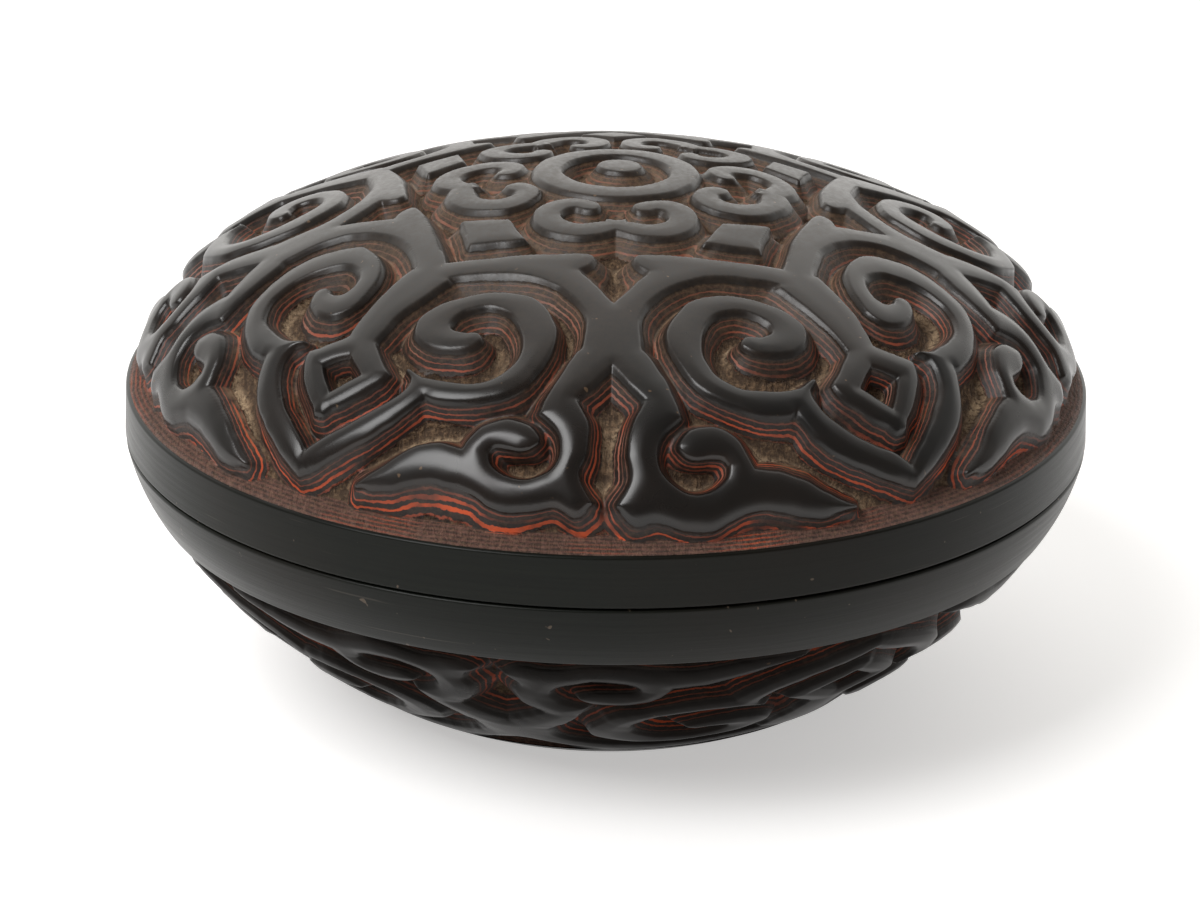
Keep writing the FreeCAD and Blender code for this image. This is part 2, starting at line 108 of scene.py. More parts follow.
COLLAR_SHARES = [
    (-0.015, 0.272, 1), (0.000, 0.284, 1), (0.030, 0.301), (0.066, 0.305), (0.104, 0.291),
    (0.128, 0.257), (0.131, 0.215), (0.112, 0.178), (0.080, 0.160), (0.048, 0.164),
    (0.028, 0.183), (0.033, 0.204), (0.050, 0.205), (0.064, 0.197), (0.080, 0.205),
    (0.088, 0.228), (0.080, 0.250), (0.058, 0.262), (0.030, 0.256), (-0.015, 0.243, 1),
]
TILE_SHARES = [
    (0.1757, 0.2419, 1), (0.1445, 0.3175, 1), (0.2363, 0.3252, 1), (0.2573, 0.2355, 1),
]
RING_OUTER, RING_INNER, BOSS = 5.7, 3.9, 1.55
LID_SECTORS, BASE_SECTORS = 5, 4
LID_DRIFT_MIDDLE, LID_DRIFT_RIM = math.radians(9.5), math.radians(2.5)
BASE_DRIFT, BASE_PHASE = math.radians(7.6), math.radians(-14.4)
BASE_START_SHARE = 1.023

# The carver's middle lies a little to the right of the axis and behind it.
MIDDLE_SHIFT = (0.60, -0.75)
BOSS_SHIFT = (0.24, -0.85)

# Slips of the carver's hand on the lid in millimetres: where, how far, how wide.
SLIPS = [
    ((-14.5, 32.0), (0.0, -1.5), 5.5), ((-12.5, 31.0), (0.0, -0.5), 3.0),
    ((-6.0, 37.0), (0.0, -1.0), 4.5), ((-1.5, 35.0), (-0.4, 0.0), 3.0),
    ((-19.0, 25.0), (0.2, -0.28), 5.5), ((18.0, 26.0), (0.12, 0.16), 5.5),
    ((-14.8, 18.5), (-1.0, 0.1), 4.5), ((15.6, 17.5), (1.1, 0.2), 4.5),
    ((12.8, 1.5), (1.3, 0.0), 4.0), ((-12.0, 0.5), (-1.0, 0.0), 4.0),
    ((10.0, -9.0), (1.0, 0.0), 4.5), ((-9.0, -9.0), (-0.7, 0.0), 4.5),
]

# Cross-section of the carving in millimetres: a net cut with long slopes, heads cut steeper,
# and both longer by the lean on the side that faces the rim.
EDGE_DROP = 0.19
ROUND_WIDTH = 1.05
ROUND_POWER = 2.2
# Toward the crown the tops are flatter: share of the drop kept there, and from where.
CROWN_DROP, CROWN_FROM, CROWN_FADE = 0.40, 8.0, 16.0
NET_RUN, HEAD_RUN = 1.40, 1.15
OUTWARD_LEAN = 0.85
WALL_FLARE = 1.25
RIM_DROP = 0.08
RIM_RUN = 1.8
# The floor rises a little toward the rim, where the coat is thinner.
RIM_RISE, RIM_RISE_WIDTH = 0.30, 4.5
# Narrow hollows are cut steeper: where as shares of the reach, run kept, how wide.
STEEP = [((0.460, 0.633), 0.45, 0.07), ((0.150, 0.885), 0.50, 0.05)]
# Unevenness of the cutting: how deep and how long its swells are.
EDGE_WAVER = [(0.060, 5.3), (0.030, 2.1)]
RUN_WAVER = (0.25, 11.0)
FLOOR_WAVER = [(0.025, 1.6), (0.018, 0.7)]
# Pale floor at the foot of the walls: how near it starts to thin out, over what width, how much
# dust lies everywhere, and how much more pale behind a scroll, which is painted light from the
# bright back.
DUST_AND_BACKLIGHT_NEAR, DUST_AND_BACKLIGHT_FADE = 1.2, 1.1
DUST_EVEN, BACKLIGHT_BEHIND = 0.4, 0.6
# Depth over which the scrolls give way to the bevel at the rim.
BEVEL_BLEND = 0.08
# Least width of a slope, so that nothing is divided by zero.
LEAST_WIDTH = 0.001

# How finely the pattern is drawn, as shares of the reach: curves, samples of an edge, a flat grid.
OUTLINE_STEP, SAMPLE_STEP = 0.004, 0.001
GRID_STEP = 0.003
GRID_LOW = (-0.03, 0.0)
GRID_SIZE = (232, 372)
GRID_MARGIN = 0.05
HALF_PITCH = math.radians(180 / LID_SECTORS)
# Points tested at a time, and steps that undo the drift.
BATCH = 4000
DRIFT_STEPS = 12

LID_CELLS = 640
BASE_ROWS, BASE_COLUMNS = ((140, 1500))
RING_STEPS = 720
CORNER_STEPS = 9


def smooth_outline(points, step):
    """Closed curve through the points, with the marked corners kept sharp."""
    count = len(points)
    spots = np.array([point[:2] for point in points], float)
    sharp = [len(point) > 2 for point in points]
    line = []
    for number in range(count):
        after = (number + 1) % count
        a, b = spots[number], spots[after]
        before = spots[number - 1]
        beyond = spots[(number + 2) % count]
        slope_a = (b - a) if sharp[number] else (b - before) / 2
        slope_b = (b - a) if sharp[after] else (beyond - a) / 2
        pieces = max(1, int(math.ceil(np.linalg.norm(b - a) / step)))
        if sharp[number] and sharp[after]:
            slope_a = slope_b = b - a
        t = (np.arange(pieces) / pieces)[:, None]
        line.append((2 * t ** 3 - 3 * t ** 2 + 1) * a + (t ** 3 - 2 * t ** 2 + t) * slope_a
                    + (3 * t ** 2 - 2 * t ** 3) * b + (t ** 3 - t ** 2) * slope_b)
    return np.concatenate(line)


def mirrored(line, axis_angle):
    """The outline mirrored about a line through the middle of the pattern."""
    c, s = math.cos(2 * axis_angle), math.sin(2 * axis_angle)
    across, outward = line[:, 0], line[:, 1]
    return np.stack([-across * c + outward * s, across * s + outward * c], 1)


def inside(points, line):
    """Which points lie inside one closed outline."""
    low, high = line.min(0), line.max(0)
    near = np.all((points >= low) & (points <= high), axis=1)
    found = np.zeros(len(points), bool)
    x, y = points[near, 0][:, None], points[near, 1][:, None]
    if not len(x):
        return found
    ax, ay = line[:, 0][None], line[:, 1][None]
    bx, by = np.roll(line[:, 0], -1)[None], np.roll(line[:, 1], -1)[None]
    hits = np.zeros(len(x), int)
    for start in range(0, len(x), BATCH):
        stop = start + BATCH
        crosses = (ay > y[start:stop]) != (by > y[start:stop])
        with np.errstate(divide="ignore", invalid="ignore"):
            reach = ax + (y[start:stop] - ay) * (bx - ax) / (by - ay)
        hits[start:stop] = np.sum(crosses & (x[start:stop] < reach), axis=1)
    found[near] = hits % 2 == 1
    return found


def open_edges(lines):
    """Samples along the outlines, without those that lie inside another outline."""
    edge = []
    for number, line in enumerate(lines):
        ahead = np.roll(line, -1, axis=0)
        length = np.linalg.norm(ahead - line, axis=1)
        samples = []
        for a, b, size in zip(line, ahead, length):
            pieces = max(1, int(math.ceil(size / SAMPLE_STEP)))
            t = (np.arange(pieces) / pieces)[:, None]
            samples.append(a + (b - a) * t)
        samples = np.concatenate(samples)
        hidden = np.zeros(len(samples), bool)
        for other, cover in enumerate(lines):
            if other != number:
                hidden |= inside(samples, cover)
        edge.append(samples[~hidden])
    return np.concatenate(edge)


def distance_field(shapes):
    """Signed distance to the edge of the raised scrolls, negative on them, on a flat grid."""
    lines = []
    for shape in shapes:
        line = smooth_outline(shape, OUTLINE_STEP)
        lines += [line, mirrored(line, 0.0), mirrored(line, HALF_PITCH)]
    edge = open_edges(lines)
    low = np.array(GRID_LOW) - GRID_MARGIN
    high = np.array(GRID_LOW) + np.array(GRID_SIZE) * GRID_STEP + GRID_MARGIN
    edge = edge[np.all((edge > low) & (edge < high), axis=1)]
    tree = KDTree(len(edge))
    for number, (x, y) in enumerate(edge):
        tree.insert((x, y, 0), number)
    tree.balance()
    grid_x = GRID_LOW[0] + GRID_STEP * np.arange(GRID_SIZE[0])
    grid_y = GRID_LOW[1] + GRID_STEP * np.arange(GRID_SIZE[1])
    flat = np.stack(np.meshgrid(grid_x, grid_y, indexing="ij"), -1).reshape(-1, 2)
    reach = np.array([tree.find((x, y, 0))[2] for x, y in flat])
    raised = np.zeros(len(flat), bool)
    for line in lines:
        raised |= inside(flat, line)
    return np.where(raised, -reach, reach).reshape(GRID_SIZE)


def look_up(field, across, outward):
    """The field between its grid points, up to just short of the last ones."""
    x = np.clip((across - GRID_LOW[0]) / GRID_STEP, 0, GRID_SIZE[0] - 1.001)
    y = np.clip((outward - GRID_LOW[1]) / GRID_STEP, 0, GRID_SIZE[1] - 1.001)
    i, j = x.astype(int), y.astype(int)
    u, v = x - i, y - j
    return ((1 - u) * (1 - v) * field[i, j] + u * (1 - v) * field[i + 1, j]
            + (1 - u) * v * field[i, j + 1] + u * v * field[i + 1, j + 1])


def waver(x, y, swell):
    """Smooth unevenness between -1 and 1, with swells about this long."""
    u, v = 2 * math.pi * x / swell, 2 * math.pi * y / swell
    return (np.sin(u + 1.3 * np.sin(0.7 * v)) + np.sin(0.8 * v + 1.7 * np.sin(0.6 * u) + 2)) / 2


def groove_depth(spot, here, behind, steep, from_rim):
    """Depth below the uncarved surface, how far a spot is bevel, and how pale its floor is."""
    x, y = spot
    uneven = sum(size * waver(x, y, swell) for size, swell in EDGE_WAVER)
    longer = (1 + RUN_WAVER[0] * waver(x, y, RUN_WAVER[1])) * steep
    edge_drop = EDGE_DROP * np.clip(1 - (from_rim - CROWN_FROM) / CROWN_FADE, CROWN_DROP, 1)
    crown = edge_drop * np.clip(1 + (here[0] + uneven) / ROUND_WIDTH, 0, 1) ** ROUND_POWER
    deep = RELIEF - RIM_RISE * np.clip(1 - from_rim / RIM_RISE_WIDTH, 0, 1)
    scroll = deep
    for now, before, run in zip(here[1:], behind[1:], (NET_RUN, HEAD_RUN)):
        leaning = np.minimum(0, before - now) * steep
        left = np.maximum(run * longer - now - leaning - uneven, 0)
        past = np.maximum(now + uneven, 0)
        share = np.clip(past / np.maximum(past + left, LEAST_WIDTH), 0, 1)
        wall = crown + (deep - edge_drop) * (1 - (1 - share) ** WALL_FLARE)
        scroll = np.minimum(scroll, wall)
    rough = sum(size * waver(x, y, swell) for size, swell in FLOOR_WAVER)
    scroll = scroll + rough * np.clip(scroll / RELIEF, 0, 1) ** 2
    rim = RIM_DROP + (RELIEF - RIM_DROP) * from_rim / RIM_RUN
    # Floors behind a scroll, at the foot of a wall facing the bright back, are made paler: painted
    # light.
    side = (behind[0] - here[0]) / OUTWARD_LEAN
    dust_and_backlight = np.clip(DUST_EVEN + BACKLIGHT_BEHIND * side, 0, 1)
    dust_and_backlight = dust_and_backlight * np.clip(1 - (here[0] - DUST_AND_BACKLIGHT_NEAR) / DUST_AND_BACKLIGHT_FADE, 0, 1)
    return np.minimum(scroll, rim), np.clip((scroll - rim) / BEVEL_BLEND, 0, 1), dust_and_backlight


def folded(angle, sectors):
    """Angle from the nearest gap between two heads, without sign."""
    pitch = 2 * math.pi / sectors
    return np.abs((angle + pitch / 2) % pitch - pitch / 2)


def undrifted(turn, drift):
    """Angle in the even pattern that the drift moved to this one."""
    angle = turn.copy()
    for _ in range(DRIFT_STEPS):
        angle = turn - drift * np.sin(angle)
    return angle


def kept_run(across, outward):
    """Share of the slope that is kept in the narrow hollows of the pattern."""
    kept = 1
    for (x, y), share, width in STEEP:
        near = np.exp(-((across - x) ** 2 + (outward - y) ** 2) / width ** 2)
        kept = kept * (1 - (1 - share) * near)
    return kept


def lid_distances(fields, x, y):
    """Distances from the scrolls at a spot of the flat lid, and the slope kept there."""
    fade = 1 - np.hypot(x, y) / LID_REACH
    across = x - MIDDLE_SHIFT[0] * fade
    outward = y - MIDDLE_SHIFT[1] * fade
    for (slip_x, slip_y), (shift_x, shift_y), width in SLIPS:
        near = np.exp(-((x - slip_x) ** 2 + (y - slip_y) ** 2) / width ** 2)
        across = across - shift_x * near
        outward = outward - shift_y * near
    out = np.hypot(across, outward)
    turn = np.arctan2(across, outward)
    share = out / LID_REACH
    drift = LID_DRIFT_MIDDLE + (LID_DRIFT_RIM - LID_DRIFT_MIDDLE) * share
    psi = folded(undrifted(turn, drift), LID_SECTORS)
    place = (share * np.sin(psi), share * np.cos(psi))
    whole, net, heads = (look_up(field, *place) * LID_REACH for field in fields)
    ring = np.maximum(RING_INNER - out, out - RING_OUTER)
    boss = np.hypot(across - BOSS_SHIFT[0], outward - BOSS_SHIFT[1]) - BOSS
    middle = np.minimum(ring, boss)
    return (np.minimum(whole, middle), net, np.minimum(heads, middle)), kept_run(*place)


def lid_depth(fields, length, azimuth):
    """Depth, bevel and floor paleness at spots of the dome, by distance from its top and azimuth.
    """
    x, y = length * np.sin(azimuth), length * np.cos(azimuth)
    here, steep = lid_distances(fields, x, y)
    nearer = 1 - OUTWARD_LEAN / np.maximum(length, OUTWARD_LEAN)
    behind, _ = lid_distances(fields, x * nearer, y * nearer)
    return groove_depth((x, y), here, behind, steep, LID_LENGTH - length)


def base_depth(fields, length, azimuth):
    """The same at spots of the bowl, by distance from its upper edge and azimuth."""
    share = BASE_START_SHARE - length / BASE_REACH
    angle = undrifted(azimuth - BASE_PHASE, BASE_DRIFT)
    psi = folded(angle, BASE_SECTORS) * BASE_SECTORS / LID_SECTORS
    place = (share * np.sin(psi), share * np.cos(psi))
    here = [look_up(field, *place) * BASE_REACH for field in fields]
    x = BASE_EDGE_RADIUS * np.sin(azimuth) - length
    y = BASE_EDGE_RADIUS * np.cos(azimuth) + length
    from_rim = np.minimum(length, BOWL_LENGTH - length)
    return groove_depth((x, y), here, here, kept_run(*place), from_rim)


def lid_point(length, azimuth, depth):
    """Point this deep below the dome."""
    lean = np.where(length < CROWN_LENGTH, length / CROWN,
                    CROWN_END + (length - CROWN_LENGTH) / SHOULDER)
    on_crown = length < CROWN_LENGTH
    radius = np.where(on_crown, (CROWN - depth) * np.sin(lean),
                      shoulder_x + (SHOULDER - depth) * np.sin(lean))
    height = np.where(on_crown, TOP - CROWN + (CROWN - depth) * np.cos(lean),
                      shoulder_z + (SHOULDER - depth) * np.cos(lean))
    return np.stack([radius * np.sin(azimuth), -radius * np.cos(azimuth), height], -1) * MM


def base_point(length, azimuth, depth):
    """Point this deep below the bowl."""
    lean = BOWL_START - length / BOWL
    radius = (BOWL - depth) * np.cos(lean)
    height = BOWL_Z + (BOWL - depth) * np.sin(lean)
    return np.stack([radius * np.sin(azimuth), -radius * np.cos(azimuth), height], -1) * MM


def faces(*corners):
    """Four-sided faces from four alike grids of point numbers, one for each corner."""
    return np.stack(corners, -1).reshape(-1, 4)


def mesh_object(name, points, quads, values):
    """Smooth object from points and faces, with a value at each point for each label."""
    mesh = bpy.data.meshes.new(name)
    mesh.vertices.add(len(points))
    mesh.vertices.foreach_set("co", points.astype(np.float32).ravel())
    mesh.loops.add(len(quads) * 4)
    mesh.loops.foreach_set("vertex_index", quads.astype(np.int32).ravel())
    mesh.polygons.add(len(quads))
    mesh.polygons.foreach_set("loop_start", np.arange(0, len(quads) * 4, 4, dtype=np.int32))
    mesh.update(calc_edges=True)
    mesh.validate()
    for label, value in values.items():
        store = mesh.attributes.new(label, "FLOAT", "POINT")
        store.data.foreach_set("value", value.astype(np.float32).ravel())
    mesh.shade_smooth()
    made = bpy.data.objects.new(name, mesh)
    bpy.context.scene.collection.objects.link(made)
    return made


def disc_grid(cells):
    """Even grid over the dome, with cells about alike everywhere: distance and azimuth."""
    side = np.linspace(-1, 1, cells + 1)
    a, b = np.meshgrid(side, side, indexing="ij")
    wide = np.abs(a) > np.abs(b)
    with np.errstate(divide="ignore", invalid="ignore"):
        spoke = np.where(wide, a, b)
        turn = np.where(wide, math.pi / 4 * b / a, math.pi / 2 - math.pi / 4 * a / b)
    azimuth = np.nan_to_num(turn) + np.where(spoke < 0, math.pi, 0)
    return np.abs(spoke) * LID_LENGTH, azimuth


def carved_coat(name, depth_at, point_at, fields, grid, quads):
    """Carved surface over a grid of distances and azimuths."""
    depth, bevel, dust_and_backlight = depth_at(fields, *grid)
    points = point_at(*grid, depth).reshape(-1, 3)
    # Stored with the points: depth, floor paleness from dust and painted light, and bevel.
    return mesh_object(name, points, quads, {"cut": depth, "dust_and_backlight": dust_and_backlight, "bevel": bevel})


net_field = distance_field([NETWORK_SHARES])

# Carved dome.
lid_fields = (distance_field([NETWORK_SHARES, HEAD_SHARES, COLLAR_SHARES, TILE_SHARES]),
              net_field, distance_field([HEAD_SHARES, COLLAR_SHARES, TILE_SHARES]))
index = np.arange((LID_CELLS + 1) ** 2).reshape(LID_CELLS + 1, LID_CELLS + 1)
lid_relief = carved_coat(
    "lid_scroll_relief", lid_depth, lid_point, lid_fields, disc_grid(LID_CELLS),
    faces(index[:-1, :-1], index[:-1, 1:], index[1:, 1:], index[1:, :-1]))

# Carved bowl.
base_fields = (distance_field([NETWORK_SHARES, HEAD_SHARES]),
               net_field, distance_field([HEAD_SHARES]))
base_grid = np.meshgrid(np.linspace(0, BOWL_LENGTH, BASE_ROWS + 1),
                        np.arange(BASE_COLUMNS) / BASE_COLUMNS * 2 * math.pi - math.pi,
                        indexing="ij")
index = np.arange((BASE_ROWS + 1) * BASE_COLUMNS).reshape(BASE_ROWS + 1, BASE_COLUMNS)
ahead = np.roll(index, -1, axis=1)
base_relief = carved_coat(
    "base_scroll_relief", base_depth, base_point, base_fields, base_grid,
    faces(index[:-1], index[1:], ahead[1:], ahead[:-1]))


def eased(corners):
    """Closed section whose corners are rounded off by the two distances given with each."""
    line = []
    for number, (radius, height, before, after) in enumerate(corners):
        corner = np.array((radius, height))
        if not before:
            line.append(corner)
            continue
        last = np.array(corners[number - 1][:2])
        following = np.array(corners[(number + 1) % len(corners)][:2])
        start = corner + (last - corner) / np.linalg.norm(last - corner) * before
        stop = corner + (following - corner) / np.linalg.norm(following - corner) * after
        for t in np.linspace(0, 1, CORNER_STEPS):
            line.append((1 - t) ** 2 * start + 2 * t * (1 - t) * corner + t ** 2 * stop)
    return np.array(line)


def turned_ring(name, section):
    """Ring turned from a closed section of radius and height."""
    azimuth = np.arange(RING_STEPS) / RING_STEPS * 2 * math.pi
    radius, height = section[:, 0][:, None], section[:, 1][:, None]
    points = np.stack([radius * np.sin(azimuth), -radius * np.cos(azimuth),
                       height + 0 * azimuth], -1).reshape(-1, 3) * MM
    index = np.arange(len(section) * RING_STEPS).reshape(len(section), RING_STEPS)
    around = np.roll(index, -1, axis=1)
    quads = faces(index, around, np.roll(around, -1, axis=0), np.roll(index, -1, axis=0))
    return mesh_object(name, points, quads, {})


# Smooth bands with soft edges, so the parting line is a dark groove and the rims catch light.
GROOVE_IN, GROOVE_HALF, EDGE_SOFT = 0.60, 0.30, 0.16
# The part of the base band's height that bulges, and in how many steps.
BULGE_FROM, BULGE_TO, BULGE_STEPS = 0.06, 0.93, 16
inner_radius = BODY_RADIUS - COAT
lid_band = turned_ring("lid_band_turned", eased([
    (inner_radius, PARTING, 0, 0), (BODY_RADIUS, PARTING, GROOVE_IN, GROOVE_HALF),
    (LID_EDGE_RADIUS, LID_EDGE_HEIGHT, EDGE_SOFT, EDGE_SOFT),
    (LID_EDGE_RADIUS - COAT, LID_EDGE_HEIGHT + LID_LEDGE_RISE, 0, 0)]))
chord = np.array((BODY_RADIUS - BASE_EDGE_RADIUS, PARTING - BASE_EDGE_HEIGHT))
chord_length = np.linalg.norm(chord)
swell = chord_length ** 2 / (8 * BASE_BAND_ROUND)
bulge = [(BASE_EDGE_RADIUS + chord[0] * t + chord[1] / chord_length * 4 * swell * t * (1 - t),
          BASE_EDGE_HEIGHT + chord[1] * t - chord[0] / chord_length * 4 * swell * t * (1 - t), 0, 0)
         for t in np.linspace(BULGE_FROM, BULGE_TO, BULGE_STEPS)]
ledge_share = COAT / BOWL
base_band = turned_ring("base_band_turned", eased([
    (BASE_EDGE_RADIUS * (1 - ledge_share),
     BASE_EDGE_HEIGHT + (BOWL_Z - BASE_EDGE_HEIGHT) * ledge_share, 0, 0),
    (BASE_EDGE_RADIUS, BASE_EDGE_HEIGHT, EDGE_SOFT, EDGE_SOFT), *bulge,
    (BODY_RADIUS, PARTING, GROOVE_HALF, GROOVE_IN), (inner_radius, PARTING, 0, 0)]))
for piece, node, body in ((lid_band, "lid_rim_band", "lid"), (base_band, "base_rim_band", "base")):
    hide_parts(node)
    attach(piece, body)

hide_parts("lid_carved_lacquer")
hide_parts("base_carved_lacquer")
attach(lid_relief, "lid")
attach(base_relief, "base")


class Shader:
    """Small helper that wires one procedural material."""

    def __init__(self, name):
        self.material = bpy.data.materials.new(name)
        self.material.use_nodes = True
        self.tree = self.material.node_tree
        self.surface = self.tree.nodes["Principled BSDF"]
        source = self.tree.nodes.new("ShaderNodeTexCoord")
        self.coords, self.facing = source.outputs["Object"], source.outputs["Normal"]

    def join(self, source, target):
        """Link an output to an input."""
        self.tree.links.new(source, target)

    def put(self, target, value):
        """Set an input to a constant, or link it."""
        if isinstance(value, (int, float, tuple)):
            target.default_value = value
        else:
            self.join(value, target)

    def math(self, kind, one, two=0.0):
        """One step of arithmetic."""
        node = self.tree.nodes.new("ShaderNodeMath")
        node.operation = kind
        for socket, value in zip(node.inputs, (one, two)):
            self.put(socket, value)
        return node.outputs[0]

    def times(self, one, two):
        """Product of two values."""
        return self.math("MULTIPLY", one, two)

    def plus(self, one, two):
        """Sum of two values."""
        return self.math("ADD", one, two)

    def noise(self, scale, detail=4.0, rough=0.55, stretch=None, seed=0.0):
        """Noise in object space, swells per metre, stretched along the axes where asked."""
        node = self.tree.nodes.new("ShaderNodeTexNoise")
        if seed:
            node.noise_dimensions = "4D"
            node.inputs["W"].default_value = seed
        node.inputs["Scale"].default_value = scale
        node.inputs["Detail"].default_value = detail
        node.inputs["Roughness"].default_value = rough
        source = self.coords
        if stretch:
            mapping = self.tree.nodes.new("ShaderNodeMapping")
            mapping.inputs["Scale"].default_value = stretch
            self.join(source, mapping.inputs["Vector"])
            source = mapping.outputs[0]
        self.join(source, node.inputs["Vector"])
        return node.outputs["Fac"]

    def ramp(self, value, stops):
        """Colour by value, through the stops."""
        node = self.tree.nodes.new("ShaderNodeValToRGB")
        marks = node.color_ramp.elements
        while len(marks) > 1:
            marks.remove(marks[-1])
        for number, (place, colour) in enumerate(stops):
            mark = marks[0] if number == 0 else marks.new(place)
            mark.position = place
            mark.color = (*colour, 1)
        self.put(node.inputs[0], value)
        return node.outputs["Color"]

    def mix(self, share, one, two):
        """Colour between two, by the share of the second."""
        node = self.tree.nodes.new("ShaderNodeMix")
        node.data_type = "RGBA"
        self.put(node.inputs[0], share)
        for socket, value in ((node.inputs[6], one), (node.inputs[7], two)):
            self.put(socket, (*value, 1) if isinstance(value, tuple) else value)
        return node.outputs[2]

    def span(self, value, low, high, to_low=0.0, to_high=1.0):
        """A value taken from one range to another, kept inside it."""
        node = self.tree.nodes.new("ShaderNodeMapRange")
        for number, item in enumerate((value, low, high, to_low, to_high)):
            self.put(node.inputs[number], item)
        return node.outputs[0]

    def split(self, vector):
        """The three parts of a vector."""
        node = self.tree.nodes.new("ShaderNodeSeparateXYZ")
        self.join(vector, node.inputs[0])
        return node.outputs

    def attribute(self, name):
        """A value stored at the points of the mesh."""
        node = self.tree.nodes.new("ShaderNodeAttribute")
        node.attribute_name = name
        return node.outputs["Fac"]

    def bump(self, height, strength, distance, before=None):
        """Fine relief in the normal, on top of one made before."""
        node = self.tree.nodes.new("ShaderNodeBump")
        node.inputs["Strength"].default_value = strength
        node.inputs["Distance"].default_value = distance
        self.join(height, node.inputs["Height"])
        if before is not None:
            self.join(before, node.inputs["Normal"])
        return node.outputs[0]


# Colours of the lacquer, of its layers and of the dust.
BLACK = (0.0085, 0.0074, 0.0066)
WORN = (0.024, 0.0145, 0.0105)
DEEP = (0.0135, 0.0078, 0.0058)
RED = (0.62, 0.084, 0.018)
RUST = (0.205, 0.062, 0.038)
PINK = (0.300, 0.150, 0.110)
MAUVE = (0.135, 0.064, 0.048)
EARTH = (0.046, 0.026, 0.015)
BROWN = (0.215, 0.132, 0.074)
TAN = (0.50, 0.355, 0.220)
DULL = (0.056, 0.032, 0.024)
BAND_DARK, BAND_LIGHT = (0.0036, 0.0044, 0.0032), (0.0080, 0.0092, 0.0068)
BAND_WORN = (0.0130, 0.0088, 0.0064)
BAND_MARK, BAND_SPECK = (0.060, 0.052, 0.044), (0.16, 0.12, 0.09)
INNER_DARK, INNER_LIGHT = (0.0085, 0.0075, 0.0070), (0.0170, 0.0145, 0.0125)
INNER_WORN = (0.026, 0.018, 0.013)
WOOD_DARK, WOOD_LIGHT = (0.30, 0.19, 0.10), (0.46, 0.32, 0.19)

# Red layers of the lacquer: middle and half thickness in millimetres, how strong, how fresh.
RED_LAYERS = [(0.60, 0.018, 0.55, 0.35), (0.86, 0.026, 0.90, 0.75),
              (1.13, 0.042, 1.00, 1.00), (1.40, 0.022, 0.70, 0.55)]
LAYER_EDGE = 0.020
LAYER_WAVER = 0.16
# Depths in millimetres where the tops end and the walls begin, and where the floors begin.
WALL_FROM, FLOOR_FROM = (0.40, 0.50), (1.36, 1.50)
# Heights in metres over which the red dulls, and over which a brown film thickens: partly dust,
# partly painted sheen.
RED_DULLS, DUST_AND_SHEEN_THICKENS = (0.0235, 0.0335), (0.0295, 0.0360)


def layer_lines(shader, level, near_rim):
    """The red layers as lines that waver, swell and fade each on its own, and their freshness."""
    stripes = fresh = None
    for number, (middle, half, strength, bright) in enumerate(RED_LAYERS):
        seed = 1.7 * (number + 1)
        own = shader.math("SUBTRACT", shader.noise(420, 3.0, 0.6, seed=seed), 0.5)
        away = shader.math("SUBTRACT", level, middle)
        away = shader.plus(away, shader.times(own, LAYER_WAVER))
        away = shader.math("ABSOLUTE", away)
        size = shader.span(shader.noise(230, 3.0, seed=seed + 20), 0.36, 0.64, 0.55, 1.5)
        patch = shader.span(shader.noise(75, 2.0, seed=seed + 30), 0.56, 0.66, 0.0, 1.6)
        size = shader.plus(size, shader.times(patch, near_rim))
        size = shader.times(size, half)
        line = shader.span(away, size, shader.plus(size, LAYER_EDGE), strength, 0.0)
        fade = shader.span(shader.noise(190, 4.0, 0.6, seed=seed + 40), 0.38, 0.54, 0.12, 1.0)
        line = shader.times(line, fade)
        share = shader.times(line, bright)
        stripes = line if stripes is None else shader.math("MAXIMUM", stripes, line)
        fresh = share if fresh is None else shader.math("MAXIMUM", fresh, share)
    return stripes, fresh


